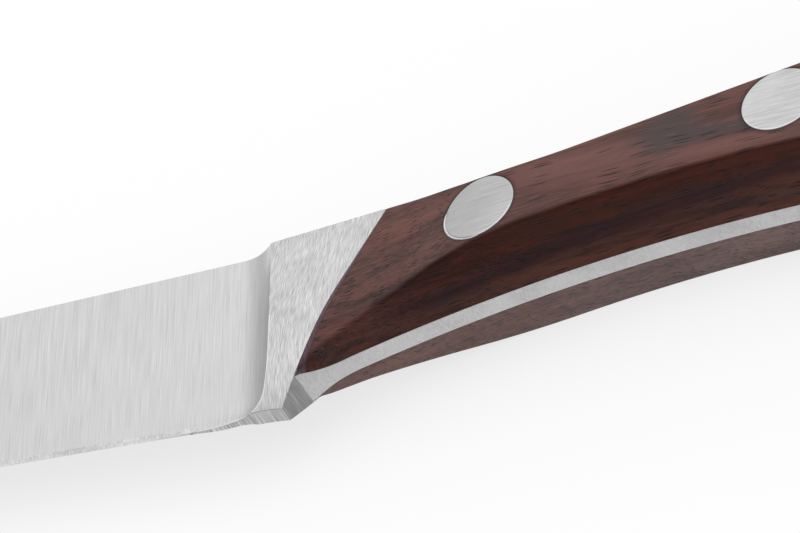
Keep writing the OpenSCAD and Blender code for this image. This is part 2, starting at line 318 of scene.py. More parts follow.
# Dashes: cells to the metre along and across, size in a cell, the lot above which a cell holds one, and shift
dashLook = {
    "Pores": ((270, 5400, 5400), 0.39, 1.06, (0, 0, 0)),
    "Flecks": ((480, 4600, 4600), 0.32, 1.20, (5, 3, 7)),
}
woodSurface = {
    "streakRange": (0.39, 0.60), "streakHeight": 0.2, "sway": 0.003, "lean": math.radians(-4),
    "clumps": (110, 500, 500), "lotFade": 0.15, "dashCore": 0.6, "fleckShare": 0.45, "poreShare": 0.95,
    "patchSway": 0.7, "patchFade": (0.75, 1.6), "rough": (0.52, 0.38), "bump": (4e-5, 0.6),
    "endSpecks": (2500, 2500, 2500), "speckRange": (0.35, 0.65), "endRough": 0.5, "endGloss": 0.3,
    "endBump": (2e-5, 0.4),
}
# The lower bevel, which takes painted shade and layers: places on the knife's axes, and in metres how its
# mask and its layers fade
bevelLook = {
    "ridgeFade": (0.0001, 0.0005), "fadeFrom": (9.0, 0, 0), "fadeTo": (23.0, 0, 0), "layerAt": (35.0, 0, 3.9),
    "layerNormal": (-0.045, 0, 1), "layerSway": 0.0008, "layerFade": (0.0004, 0.0012),
}


# A node group with a vector and numbers in, and numbers out
def groupTree(name, inputs, outputs):
    tree = bpy.data.node_groups.new(name, "ShaderNodeTree")
    tree.interface.new_socket("Vector", in_out="INPUT", socket_type="NodeSocketVector")
    for way, labels in (("INPUT", inputs), ("OUTPUT", outputs)):
        for label in labels:
            tree.interface.new_socket(label, in_out=way, socket_type="NodeSocketFloat")
    return tree, tree.nodes.new("NodeGroupInput"), tree.nodes.new("NodeGroupOutput")


def addNode(tree, kind, **settings):
    made = tree.nodes.new(kind)
    for key, value in settings.items():
        setattr(made, key, value)
    return made


# Noise on stretched and shifted coordinates
def addNoise(tree, vector, stretch=(1, 1, 1), shift=(0, 0, 0), detail=3.0, rough=0.55, distortion=0.0):
    noise = addNode(tree, "ShaderNodeTexNoise")
    values = {"Scale": 1.0, "Detail": detail, "Roughness": rough, "Distortion": distortion}
    for label, value in values.items():
        noise.inputs[label].default_value = value
    tree.links.new(addMapping(tree, vector, stretch, shift=shift), noise.inputs["Vector"])
    return noise.outputs["Fac"]


def addMapping(tree, vector, scale=(1, 1, 1), turn=(0, 0, 0), shift=(0, 0, 0)):
    mapping = addNode(tree, "ShaderNodeMapping")
    mapping.inputs["Scale"].default_value = scale
    mapping.inputs["Rotation"].default_value = turn
    mapping.inputs["Location"].default_value = shift
    tree.links.new(vector, mapping.inputs["Vector"])
    return mapping.outputs["Vector"]


def addRange(tree, value, low, high, toLow=0.0, toHigh=1.0, smooth=False):
    span = addNode(tree, "ShaderNodeMapRange")
    span.interpolation_type = "SMOOTHSTEP" if smooth else "LINEAR"
    for label, number in (("From Min", low), ("From Max", high), ("To Min", toLow), ("To Max", toHigh)):
        span.inputs[label].default_value = number
    tree.links.new(value, span.inputs["Value"])
    return span.outputs["Result"]


def addMath(tree, operation, a, b):
    node = addNode(tree, "ShaderNodeMath", operation=operation)
    for socket, value in zip(node.inputs, (a, b)):
        if isinstance(value, (int, float)):
            socket.default_value = value
        else:
            tree.links.new(value, socket)
    return node.outputs[0]


def addSplit(tree, vector):
    split = addNode(tree, "ShaderNodeSeparateXYZ")
    tree.links.new(vector, split.inputs[0])
    return split.outputs


# One number from vectors: a dot product, or the length of the first
def addMeasure(tree, operation, vector, other=(0, 0, 0)):
    node = addNode(tree, "ShaderNodeVectorMath", operation=operation)
    tree.links.new(vector, node.inputs[0])
    node.inputs[1].default_value = other
    return node.outputs["Value"]


# A noise brought about zero, times a share
def addSwing(tree, noise, share):
    return addMath(tree, "MULTIPLY", addMath(tree, "SUBTRACT", noise, 0.5), share)


def addMix(tree, factor, a, b, blend="MIX"):
    mix = addNode(tree, "ShaderNodeMix", data_type="RGBA", blend_type=blend)
    for socket, value in ((mix.inputs[0], factor), (mix.inputs[6], a), (mix.inputs[7], b)):
        if isinstance(value, (int, float)):
            socket.default_value = value
        elif isinstance(value, tuple):
            socket.default_value = (*value, 1.0)
        else:
            tree.links.new(value, socket)
    return mix.outputs[2]


# Brushing: fine and broad lines along the second axis of the given coordinates, and soft clouds between them
def makeBrushing():
    tree, source, sink = groupTree("brushing", ["Fineness", "Length", "Broad", "Cloud"], ["Lines", "Height"])
    vector = source.outputs["Vector"]
    across, along, depth = addSplit(tree, vector)
    join = addNode(tree, "ShaderNodeCombineXYZ")       # so many lines to the metre across, each so long
    tree.links.new(addMath(tree, "MULTIPLY", across, source.outputs["Fineness"]), join.inputs[0])
    tree.links.new(addMath(tree, "DIVIDE", along, source.outputs["Length"]), join.inputs[1])
    tree.links.new(addMath(tree, "MULTIPLY", depth, brushLook["depth"]), join.inputs[2])
    fine, broad = (addNoise(tree, join.outputs[0], *brushLook[key]) for key in ("fine", "broad"))
    cloud = addNoise(tree, vector, *brushLook["cloud"])
    lines = addMath(tree, "ADD", addSwing(tree, fine, 1.0), addSwing(tree, broad, source.outputs["Broad"]))
    drift = addSwing(tree, cloud, source.outputs["Cloud"])
    level = addRange(tree, addMath(tree, "ADD", lines, drift), *brushLook["span"])
    tree.links.new(level, sink.inputs["Lines"])
    tree.links.new(lines, sink.inputs["Height"])
    return tree


# Rosewood: grain that wanders a little off x, red and smoky bands, dark open pores and a few pale flecks
def makeRosewood():
    outputs = ["Streak", "Red", "Smoke", "Ink", "Pores", "Flecks", "Height"]
    tree, source, sink = groupTree("rosewoodGrain", ["Openness"], outputs)
    plain = source.outputs["Vector"]
    sway = addSwing(tree, addNoise(tree, plain, *grainNoise["sway"]), woodSurface["sway"])
    shift = addNode(tree, "ShaderNodeCombineXYZ")
    tree.links.new(sway, shift.inputs[1])
    move = addNode(tree, "ShaderNodeVectorMath", operation="ADD")
    tree.links.new(addMapping(tree, plain, turn=(0, 0, woodSurface["lean"])), move.inputs[0])
    tree.links.new(shift.outputs[0], move.inputs[1])
    vector = move.outputs[0]

    # dashes: stretched cells, of which only some hold one
    def dashes(scale, size, lot, offset):
        cells = addNode(tree, "ShaderNodeTexVoronoi", feature="F1")
        cells.inputs["Scale"].default_value = 1.0
        tree.links.new(addMapping(tree, vector, scale, shift=offset), cells.inputs["Vector"])
        draw = addNode(tree, "ShaderNodeSeparateColor")
        tree.links.new(cells.outputs["Color"], draw.inputs[0])
        clump = addNoise(tree, vector, woodSurface["clumps"], offset, 2.0)
        lucky = addMath(tree, "ADD", addMath(tree, "ADD", draw.outputs[0], clump), source.outputs["Openness"])
        kept = addRange(tree, lucky, lot, lot + woodSurface["lotFade"])
        near = addRange(tree, cells.outputs["Distance"], size * woodSurface["dashCore"], size, 1.0, 0.0)
        return addMath(tree, "MULTIPLY", near, kept)

    broad, fine = (addNoise(tree, vector, *grainNoise[key]) for key in ("broad", "fine"))
    streak = addMath(tree, "ADD", addMath(tree, "MULTIPLY", broad, 0.5), addMath(tree, "MULTIPLY", fine, 0.5))
    tree.links.new(addRange(tree, streak, *woodSurface["streakRange"]), sink.inputs["Streak"])
    for key, (low, high, share) in bandLook.items():
        band = addRange(tree, addNoise(tree, vector, *grainNoise[key]), low, high, smooth=True)
        tree.links.new(band, sink.inputs[key])
    pores, flecks = dashes(*dashLook["Pores"]), dashes(*dashLook["Flecks"])
    tree.links.new(pores, sink.inputs["Pores"])
    tree.links.new(flecks, sink.inputs["Flecks"])
    swell = addMath(tree, "MULTIPLY", streak, woodSurface["streakHeight"])
    tree.links.new(addMath(tree, "SUBTRACT", swell, pores), sink.inputs["Height"])
    return tree


brushing = makeBrushing()
rosewoodGrain = makeRosewood()


def newMaterial(name):
    material = bpy.data.materials.new(name)
    material.use_nodes = True
    tree = material.node_tree
    return material, tree, tree.nodes["Principled BSDF"]


def addBump(tree, height, distance, strength, shader):
    bump = addNode(tree, "ShaderNodeBump")
    bump.inputs["Strength"].default_value = strength
    bump.inputs["Distance"].default_value = distance
    tree.links.new(height, bump.inputs["Height"])
    tree.links.new(bump.outputs["Normal"], shader.inputs["Normal"])


def makeSteel(name, look):
    material, tree, shader = newMaterial(name)
    place = addNode(tree, "ShaderNodeTexCoord").outputs["Object"]
    group = addNode(tree, "ShaderNodeGroup", node_tree=brushing)
    for label in ("Fineness", "Length", "Broad", "Cloud"):
        group.inputs[label].default_value = look[label.lower()]
    turn = tuple(math.radians(a) for a in look["turn"])
    tree.links.new(addMapping(tree, place, turn=turn), group.inputs["Vector"])
    lines = group.outputs["Lines"]
    tree.links.new(addMix(tree, lines, look["dark"], look["bright"]), shader.inputs["Base Color"])
    tree.links.new(addRange(tree, lines, 0, 1, *look["rough"]), shader.inputs["Roughness"])
    shader.inputs["Metallic"].default_value = 1.0
    addBump(tree, group.outputs["Height"], lineHeight * look.get("height", 1.0), 1.0, shader)
    return material


# Distance from an upright axis through a point of the knife's side, in reaches of so many millimetres
def addReach(tree, place, centre, reach=(1000, 1000)):
    size = np.array(reach) / 1000
    shift = -toRow((*centre, 0))[:2] / size
    return addMeasure(tree, "LENGTH", addMapping(tree, place, (*(1 / size), 0), shift=(*shift, 0)))


# An oval patch on the side of a scale, with an edge that follows the grain
def addPatch(tree, place, streak, centre, reach):
    away = addReach(tree, place, centre, reach)
    ragged = addMath(tree, "ADD", away, addMath(tree, "MULTIPLY", streak, woodSurface["patchSway"]))
    return addRange(tree, ragged, *woodSurface["patchFade"], 1.0, 0.0, smooth=True)


# Where the left scale's lower bevel is, behind the swell, for its painted shade and layers: the distance over
# the belly's arch, less the bevel's own rise
def addBevelMask(tree, place):
    x, y, z = addSplit(tree, place)
    foot = toRow((0, 0, outline["tangHalf"]))[2]
    rise = addMath(tree, "MULTIPLY", addMath(tree, "SUBTRACT", z, foot), outline["bevelSlope"])
    away = addReach(tree, place, outline["bellyCentre"])
    over = addMath(tree, "SUBTRACT", addMath(tree, "SUBTRACT", away, outline["bellyRadius"] / 1000), rise)
    near = addRange(tree, over, *bevelLook["ridgeFade"], 1.0, 0.0, smooth=True)
    span = (toRow(bevelLook[key])[0] for key in ("fadeFrom", "fadeTo"))
    return addMath(tree, "MULTIPLY", near, addRange(tree, x, *span, smooth=True))


# Painted shade on the bevel: all of it a little darker, then layers of wood that the bevel cuts: a dark one,
# and redder wood from there to the ridge, partly real figure and partly painted shade. Both by the height
# over a plane that climbs a little towards the butt
def addLayersAndShade(tree, place, streak, bevel, colour):
    start = addMapping(tree, place, shift=tuple(-toRow(bevelLook["layerAt"])))
    height = addMeasure(tree, "DOT_PRODUCT", start, bevelLook["layerNormal"])
    ragged = addMath(tree, "ADD", height, addSwing(tree, streak, bevelLook["layerSway"]))
    fade = bevelLook["layerFade"]
    redder = addRange(tree, ragged, *fade, smooth=True)
    dark = addRange(tree, addMath(tree, "ABSOLUTE", ragged, 0.0), *fade, 1.0, 0.0, smooth=True)
    # painted shade over the whole bevel, then the two layers, which darken it further
    for layer, key in ((1.0, "bevelShade"), (redder, "redLayer"), (dark, "darkLayer")):
        colour = addMix(tree, addMath(tree, "MULTIPLY", layer, bevel), colour, woodLook[key], "MULTIPLY")
    return colour


# Dark wood in a ring round each rivet
def addRings(tree, place, colour, ink):
    for centre in rivet["places"].values():
        ring = addRange(tree, addReach(tree, place, centre), rivet["headRadius"] / 1000,
                        rivet["ringRadius"] / 1000, rivet["ringShare"], 0.0)
        colour = addMix(tree, ring, colour, ink)
    return colour


# Oiled rosewood: grain scales the figure and shift moves it, openness adds pores and flecks,
# gloss is its specular level, the tint brightens and on the right scale is painted light, bands is the
# strength of the bands, the flag after them adds the bevel's painted shade and layers, and patches are
# (colour, centre, reach, share)
def makeWood(name, grain, shift, openness, gloss, lightTint, bands, layersAndShade, patches):
    material, tree, shader = newMaterial(name)
    place = addNode(tree, "ShaderNodeTexCoord").outputs["Object"]
    group = addNode(tree, "ShaderNodeGroup", node_tree=rosewoodGrain)
    tree.links.new(addMapping(tree, place, grain, shift=shift), group.inputs["Vector"])
    group.inputs["Openness"].default_value = openness
    tone = {key: tuple(t * c for t, c in zip(lightTint, colour)) for key, colour in woodLook.items()}
    tone["pore"] = woodLook["pore"]
    streak = group.outputs["Streak"]
    colour = addMix(tree, streak, tone["deep"], tone["base"])

    def cover(under, mask, share, key):
        return addMix(tree, addMath(tree, "MULTIPLY", mask, share), under, tone[key])

    for band, (low, high, share) in bandLook.items():
        colour = cover(colour, group.outputs[band], share * bands, band.lower())
    fleckShare = woodSurface["fleckShare"]
    if layersAndShade:
        bevel = addBevelMask(tree, place)
        colour = addLayersAndShade(tree, place, streak, bevel, colour)
        fleckShare = addRange(tree, bevel, 0, 1, fleckShare, 0.0)
    for key, centre, reach, share in patches:
        colour = cover(colour, addPatch(tree, place, streak, centre, reach), share, key)
    colour = cover(colour, group.outputs["Flecks"], fleckShare, "fleck")
    colour = cover(colour, group.outputs["Pores"], woodSurface["poreShare"], "pore")
    colour = addRings(tree, place, colour, tone["ink"])
    tree.links.new(colour, shader.inputs["Base Color"])
    tree.links.new(addRange(tree, streak, 0, 1, *woodSurface["rough"]), shader.inputs["Roughness"])
    shader.inputs["Specular IOR Level"].default_value = gloss
    addBump(tree, group.outputs["Height"], *woodSurface["bump"], shader)
    return material


# End grain on the chamfer at the front of a scale: purplish, with open pores seen end on
def makeEndGrain(name, dark, light):
    material, tree, shader = newMaterial(name)
    place = addNode(tree, "ShaderNodeTexCoord").outputs["Object"]
    speck = addNoise(tree, place, woodSurface["endSpecks"], detail=4.0, rough=0.6)
    colour = addMix(tree, addRange(tree, speck, *woodSurface["speckRange"]), woodLook[dark], woodLook[light])
    tree.links.new(colour, shader.inputs["Base Color"])
    shader.inputs["Roughness"].default_value = woodSurface["endRough"]
    shader.inputs["Specular IOR Level"].default_value = woodSurface["endGloss"]
    addBump(tree, speck, *woodSurface["endBump"], shader)
    return material


steels = {name: makeSteel(name, look) for name, look in steelLook.items()}
leftWood = makeWood(
    "rosewoodLeft", grain=(1, 1, 1), shift=(0, 0, 0), openness=0.0, gloss=0.28,
    lightTint=(1.05, 1.05, 1.05), bands=1.0, layersAndShade=True,
    patches=[("pale", (36.0, -3.6), (11.0, 2.8), 0.6), ("pale", (50.5, -5.7), (8.5, 1.0), 0.6),
             ("smoke", (45.2, -2.0), (4.2, 3.2), 0.9), ("smoke", (50.4, -3.3), (4.6, 1.3), 0.8)])
# painted light: the right scale's wood is tinted far lighter than the left's, for the light it takes from the
# floor below
rightWood = makeWood(
    "rosewoodRight", grain=(2.2, 0.62, 0.62), shift=(0.031, 0.007, 0.013), openness=0.14, gloss=0.46,
    lightTint=(1.70, 1.86, 1.74), bands=0.4, layersAndShade=False, patches=[])
endGrain = makeEndGrain("rosewoodEnd", "endDark", "endLight")
# a dark line on the wood's first row behind the chamfer
jointDarkLine = makeEndGrain("rosewoodDarkLine", "pore", "darkLine")
print("looks made")

# Forging: blade, bolster and tang in one skin

forging = {
    "bladeLength": 125.0, "heel": 22.3, "edgeTaper": math.radians(2.6), "straightEdge": 80.0, "tipDrop": 3.0,
    "edgeHalf": 0.2, "edgeSlope": math.tan(math.radians(17)), "spineEnd": -85.0,
    "hollowRadius": 5.5, "hollowFront": -1.8, "hollowEnd": -19.35, "frontLean": math.radians(7.5),
    "creaseLow": -21.64, "heelWheel": 17.0, "heelCrest": (-1.0, -21.66), "heelBlend": 0.5,
    "rootHalf": 2.0, "rootLedge": 0.35, "rootLength": 3.4,
    "rootCurve": 2.2, "edgeRound": 0.05, "cornerRound": 0.06, "leastHalf": 0.008,
    "crownRound": 0.1, "flankRound": 0.01, "bevelRound": 0.015, "hollowPast": 20.0, "creaseSpan": (-4.5, 6.0),
    "besideFrom": -14.0, "chinTop": 4.0, "uprightFrom": 92.0,
    "farLines": 46, "tipGap": 0.08, "besideGap": 0.3, "besideRun": 12.2,
    "closeSteps": (0.02, 0.05, 0.09, 0.14, 0.2, 0.27, 0.35),
    "nearSteps": (0.43, 6, 0.08), "wideSteps": (6.1, 11.8, 0.25),
    "chinSteps": (0, 0.004, 0.009, 0.016, 0.025, 0.036, 0.05, 0.07), "chinRest": (0.095, 1, 30),
    "bolsterLines": 23, "tangLines": 120, "tangEase": 1.6, "buttLines": 40,
    "lowStep": 0.09, "lowSteps": 35, "topStep": 0.1, "topSteps": 13, "fullHeight": 9.0, "sideSteps": 40,
    # the last count on this line and the last height on the next give the rows beside the bolster's front
    # edge that take a painted highlight
    "stripFaces": 6, "cornerFaces": 9, "bevelFaces": 15, "highlightFaces": 6,
    "cheekFrom": -6.0, "heelFrom": -9.0, "bevelTo": -8.0, "highlightTop": -11.0,
}
# Its zones of steel, in the order of their numbers
forgingSteels = (
    "steelAcrossBlade", "steelOnCheek", "steelOnChin", "steelBehindChin", "steelOnTang",
    "steelEdgeHighlight", "steelOnCuttingBevel",
)


# The arc of the cutting edge, which leaves the straight edge without a corner and ends at the tip:
# its start, centre and radius
def edgeArc():
    f = forging
    t = f["edgeTaper"]
    start = np.array([-f["straightEdge"], f["straightEdge"] * math.tan(t) - f["heel"]])
    tip = np.array([-f["bladeLength"], -f["tipDrop"]])
    run = (start[0] - tip[0]) * math.cos(t) + (tip[1] - start[1]) * math.sin(t)
    rise = (tip[1] - start[1]) * math.cos(t) - (start[0] - tip[0]) * math.sin(t)
    radius = (run ** 2 + rise ** 2) / (2 * rise)
    centre = start + radius * np.array([math.sin(t), math.cos(t)])
    return start, centre, radius


# Distance above the cutting edge: from its straight line, then from its arc
def edgeDistance(x, y):
    start, centre, radius = edgeArc()
    t = forging["edgeTaper"]
    straight = (y + forging["heel"] + x * math.tan(t)) * math.cos(t)
    ahead = (start[0] - x) * math.cos(t) + (y - start[1]) * math.sin(t)
    return np.where(ahead > 0, radius - np.hypot(x - centre[0], y - centre[1]), straight)


# Height of the cutting edge: a straight line from the heel, then the arc
def edgeLine(x):
    start, centre, radius = edgeArc()
    straight = -forging["heel"] - x * math.tan(forging["edgeTaper"])
    arc = centre[1] - np.sqrt(np.maximum(radius ** 2 - (x - centre[0]) ** 2, 0))
    return np.where(x < start[0], arc, straight)


# Height of the spine: level, then an arc down to the tip
def spineLine(x):
    run = forging["bladeLength"] + forging["spineEnd"]
    radius = (run ** 2 + forging["tipDrop"] ** 2) / (2 * forging["tipDrop"])
    ahead = np.maximum(forging["spineEnd"] - x, 0)
    return np.sqrt(radius ** 2 - ahead ** 2) - radius


# Half thickness of the blade: a steep cutting bevel, then a slow taper up to the spine
def bladeHeight(x, y):
    f = forging
    d = np.maximum(edgeDistance(x, y), 0)
    width = f["edgeHalf"] / f["edgeSlope"]
    slope = (outline["tangHalf"] - f["edgeHalf"]) / (f["heel"] - width)
    return smoothMin(d * f["edgeSlope"], f["edgeHalf"] + (d - width) * slope, f["bevelRound"])


# Rise of the ball-nosed hollow: a circle of its radius, by the distance from the corner of a leaned frame
def hollowRise(x, y):
    f = forging
    c, s = math.cos(f["frontLean"]), math.sin(f["frontLean"])
    a, b = x * c + y * s, y * c - x * s
    climb = outline["cheekHalf"] - outline["tangHalf"]
    run = math.sqrt(f["hollowRadius"] ** 2 - (f["hollowRadius"] - climb) ** 2)
    r = np.hypot(np.maximum(a - (f["hollowFront"] - run), 0), np.maximum(f["hollowEnd"] - b, 0))
    inside = np.sqrt(np.maximum(f["hollowRadius"] ** 2 - r ** 2, 0))
    return np.where(r < f["hollowRadius"], f["hollowRadius"] - inside, f["hollowPast"] + r)


# Half thickness of blade and bolster: the cheek, cut by the hollow and by the bevel along the back
def forgedHeight(x, y):
    f = forging
    blade = bladeHeight(x, y)
    bevel = outline["tangHalf"] + (crownLine(x) - y) / outline["bevelSlope"]
    cheek = smoothMin(cheekHeight(x, y), bevel, f["crownRound"])
    bolster = smoothMin(cheek, blade + hollowRise(x, y), f["edgeRound"])
    return smoothMax(blade, bolster, f["flankRound"])


# Half thickness of the tang: a ledge behind the joint, a hollow fillet, then the plain plate
def tangHeight(x, y):
    f = forging
    fade = np.clip(1 - (behindJoint(x, y) - f["rootLedge"]) / f["rootLength"], 0, 1)
    return outline["tangHalf"] + (f["rootHalf"] - outline["tangHalf"]) * fade ** f["rootCurve"]


# Front edge of the bolster, where the cheek meets the hollow: x at each height, found by halving
def creaseLine(y):
    y = np.maximum(y, forging["creaseLow"])
    ahead, behind = (np.full_like(y, x) for x in forging["creaseSpan"])
    for step in range(40):
        x = (ahead + behind) / 2
        past = bladeHeight(x, y) + hollowRise(x, y) > cheekHeight(x, y)
        ahead, behind = np.where(past, ahead, x), np.where(past, x, behind)
    return (ahead + behind) / 2


# Lower outline of the front: the cutting edge, then the round that a wheel ground under the heel
def heelLine(x):
    (cx, cy), wheel = forging["heelCrest"], forging["heelWheel"]
    ground = cy - wheel + np.sqrt(np.maximum(wheel ** 2 - (x - cx) ** 2, 0))
    return smoothMax(edgeLine(x), ground, forging["heelBlend"])


# A station is a line x = a + b crease(y) + c y from the lower outline to the upper one: upright in the blade,
# along the front edge beside the hollow, and leaned with the chin and the joint in the bolster
def forgingStations():
    f, o = forging, outline
    start, chinTop = f["besideFrom"], f["chinTop"]
    ease = 1 - np.cos(np.linspace(0, math.pi / 2, f["farLines"]))
    far = -f["bladeLength"] + f["tipGap"] + (f["bladeLength"] + start - f["besideGap"]) * ease
    beside = np.concatenate([f["closeSteps"], np.arange(*f["nearSteps"]), np.arange(*f["wideSteps"])])
    share = 1 - beside[::-1] / f["besideRun"]
    t = np.concatenate([f["chinSteps"], np.linspace(*f["chinRest"])])
    lean = (chinTop - o["chin"][0]) / -o["chin"][1]
    a = np.concatenate([far, start * (1 - share), t * chinTop])
    b = np.concatenate([0 * far, share, 1 - t])
    c = np.concatenate([0 * far, 0 * share, t * lean])
    low = np.full_like(a, -20.0)
    for step in range(40):
        low = heelLine(a + b * creaseLine(low) + c * low)
    top = spineLine(np.minimum(a + b * creaseLine(0 * a), 0))
    front = np.column_stack([a, b, c, low, top])
    t = np.linspace(0, 1, f["bolsterLines"])[1:]
    lowX = o["chin"][0] + (o["chinBack"][0] - o["chin"][0]) * t
    lowY = o["chin"][1] + (o["chinBack"][1] - o["chin"][1]) * t
    topX = chinTop + (o["jointTop"] - chinTop) * t
    chin = np.column_stack([topX, 0 * t, (topX - lowX) / -lowY, lowY, 0 * t])
    return front, chin, len(far) + len(share)


# Stations of the tang: leaned with the joint, straightening until upright, then closing up at the butt
def tangStations():
    f, o, upright = forging, outline, forging["uprightFrom"]
    s = np.linspace(0, 1, f["tangLines"]) ** f["tangEase"]
    low = o["chinBack"][0] + (upright - o["chinBack"][0]) * s
    top = o["jointTop"] + (upright - o["jointTop"]) * s
    turn = np.linspace(0, math.pi / 2, f["buttLines"])[1:]
    end = upright + (o["length"] - o["buttGap"] - upright) * np.sin(turn)
    low, top = np.concatenate([low, end]), np.concatenate([top, end])
    lowY, topY = bellyLine(low), backLine(top) - o["backGap"]
    lean = (top - low) / np.maximum(topY - lowY, 1e-6)
    return np.column_stack([low - lean * lowY, 0 * low, lean, lowY, topY])


# Left half of each section: from the middle of the lower strip, round its corner, up the side
# and over to the spine
def forgingHalf(stations, height):
    f = forging
    a, b, c, lowY, topY = (stations[:, k:k + 1] for k in range(5))
    lineX = lambda y: a + b * creaseLine(y) + c * y
    small = np.minimum(1, (topY - lowY) / f["fullHeight"])
    first = lowY + f["lowStep"] * np.arange(1, f["lowSteps"] + 1)[None] * small
    last = topY - f["topStep"] * np.arange(f["topSteps"], 0, -1)[None] * small
    middle = first[:, -1:] + (last[:, :1] - first[:, -1:]) * np.linspace(0, 1, f["sideSteps"])[None, 1:-1]
    y = np.concatenate([first, middle, last], 1)
    z = height(lineX(y), y)
    low = np.maximum(height(lineX(lowY), lowY + 1e-4), f["leastHalf"])
    high = np.maximum(height(lineX(topY), topY - 1e-4), f["leastHalf"])
    share = np.linspace(0, 1, f["stripFaces"])[None]
    flatLow = np.maximum(low - f["cornerRound"], 0.5 * low) * share
    flatHigh = np.maximum(high - f["cornerRound"], 0.5 * high) * np.linspace(1, 0, f["stripFaces"])[None]
    t = np.array([[0.25, 0.5, 0.75]])
    zLow, yLow = bend(flatLow[:, -1:], low, z[:, :1], t), bend(lowY, lowY, y[:, :1], t)
    zHigh, yHigh = bend(z[:, -1:], high, flatHigh[:, :1], t), bend(y[:, -1:], topY, topY, t)
    z = np.concatenate([flatLow, zLow, z, zHigh, flatHigh], 1)
    y = np.concatenate([lowY + 0 * flatLow, yLow, y, yHigh, topY + 0 * flatHigh], 1)
    return np.stack([lineX(y), y, z], -1)


# The left half and its mirror image as one skin. Zones go by the station, by the faces from the middle
# of the lower strip, and by whether the cheek or the hollow lies lower. One zone is a painted highlight:
# brighter steel on the bolster's lower front edge and on the heel's lower corner
def makeForging():
    f = forging
    bladeLines, chinLines, creaseRow = forgingStations()
    front = forgingHalf(np.concatenate([bladeLines, chinLines]), forgedHeight)
    back = forgingHalf(tangStations(), tangHeight)
    half = np.concatenate([front, back])
    grid = np.concatenate([half, half[:, -2:0:-1] * [1, 1, -1]], 1)
    rows, cols = grid.shape[:2]
    middle = (grid[:-1] + grid[1:] + np.roll(grid[:-1], -1, 1) + np.roll(grid[1:], -1, 1)) / 4
    x, y = middle[..., 0], middle[..., 1]
    row, column = np.arange(rows - 1)[:, None], np.arange(cols)[None]
    lowest = np.minimum(column, cols - 1 - column)          # faces from the middle of the lower strip
    strip = lowest < f["stripFaces"]
    corner = ~strip & (lowest < f["cornerFaces"])
    bevel = ~strip & (lowest < f["bevelFaces"])
    ahead = row < len(bladeLines) - 1
    # painted highlight: low rows beside the bolster's front edge take the brighter steel
    paintedHighlight = (row >= creaseRow) & (row < creaseRow + f["highlightFaces"]) & (y < f["highlightTop"]) & ~strip
    onBolster = cheekHeight(x, y) < bladeHeight(x, y) + hollowRise(x, y)
    cuttingBevel = bevel & (x < f["bevelTo"]) & ahead
    # painted highlight: those rows and the heel's lower corner faces
    edgeHighlight = paintedHighlight | corner & (x > f["bevelTo"]) & ahead
    onTang, behindChin = row >= len(front) - 1, strip & ~ahead
    onChin, onCheek = strip & (x > f["heelFrom"]), onBolster & (x > f["cheekFrom"])
    masks = [cuttingBevel, edgeHighlight, onTang, behindChin, onChin, onCheek]
    zones = np.select(masks, [6, 5, 4, 3, 2, 1], 0)
    piece = skin("groundForging", grid, zones)
    for name in forgingSteels:
        piece.data.materials.append(steels[name])
    return piece


knifeForging = makeForging()
print("forging:", len(knifeForging.data.polygons), "faces")

# Scales

scale = {
    "inset": 0.03, "upperRidge": 0.3, "lowerRidge": 0.3, "softRidge": 0.45, "softEnd": 24.0, "softFull": 8.0,
    "sideRoom": 0.3, "bevelRoom": 0.8, "leastRidge": 0.02, "seatGap": 0.005,
    "chamferTop": 0.15, "chamferLow": 0.78, "chamferDrop": 0.07, "chamferLines": 7,
    # the first rows behind the chamfer: the dark line's width, then steps in such widths
    "lowLift": 0.12, "liftEnd": 7.0, "darkLine": 0.06, "darkLineSteps": (1, 2, 4, 7, 11), "spreadEnd": 6.0,
    "jointDepth": 17.0, "firstDepth": 8.0, "leanFrom": 1.0, "leanRun": 40.0,
    "bodyFrom": 1.1, "bodyRun": 90.2, "bodyLines": 90, "bodyEase": 1.1, "uprightFrom": 92.1,
    "buttRound": 1.3, "buttLines": 36, "columns": (10, 9, 30, 9, 10),
}


# How far down the joint a point is, from 0 at the back to 1 near the belly
def jointShare(y):
    return np.clip(-y / scale["jointDepth"], 0, 1)


# Width of the chamfer along the joint, which opens towards the belly
def chamferWidth(y):
    return scale["chamferTop"] + (scale["chamferLow"] - scale["chamferTop"]) * jointShare(y)


# Outer surface of the wood: the handle's surface, a little prouder low down at the joint, chamfered there
# and rounded over at the butt
def woodHeight(x, y):
    s = scale
    back = behindJoint(x, y)
    lift = s["lowLift"] * jointShare(y) * np.clip(1 - back / s["liftEnd"], 0, 1) ** 2
    t = np.clip(back / chamferWidth(y), 0, 1)
    drop = (s["chamferDrop"] + s["lowLift"] * jointShare(y)) * (1 - t)
    e = np.clip((outline["length"] - x) / s["buttRound"], 0, 1)
    over = s["buttRound"] * (1 - np.sqrt(1 - (1 - e) ** 2))
    return palmHeight(x, y) - s["inset"] + lift - drop - over


# Where a bevel from the tang's side meets the outer surface: found by stepping between the two
def ridgePoint(x, start, direction):
    y = start + direction * 2.0
    for step in range(25):
        y = start + direction * outline["bevelSlope"] * (woodHeight(x, y) - outline["tangHalf"])
    return y, woodHeight(x, y)


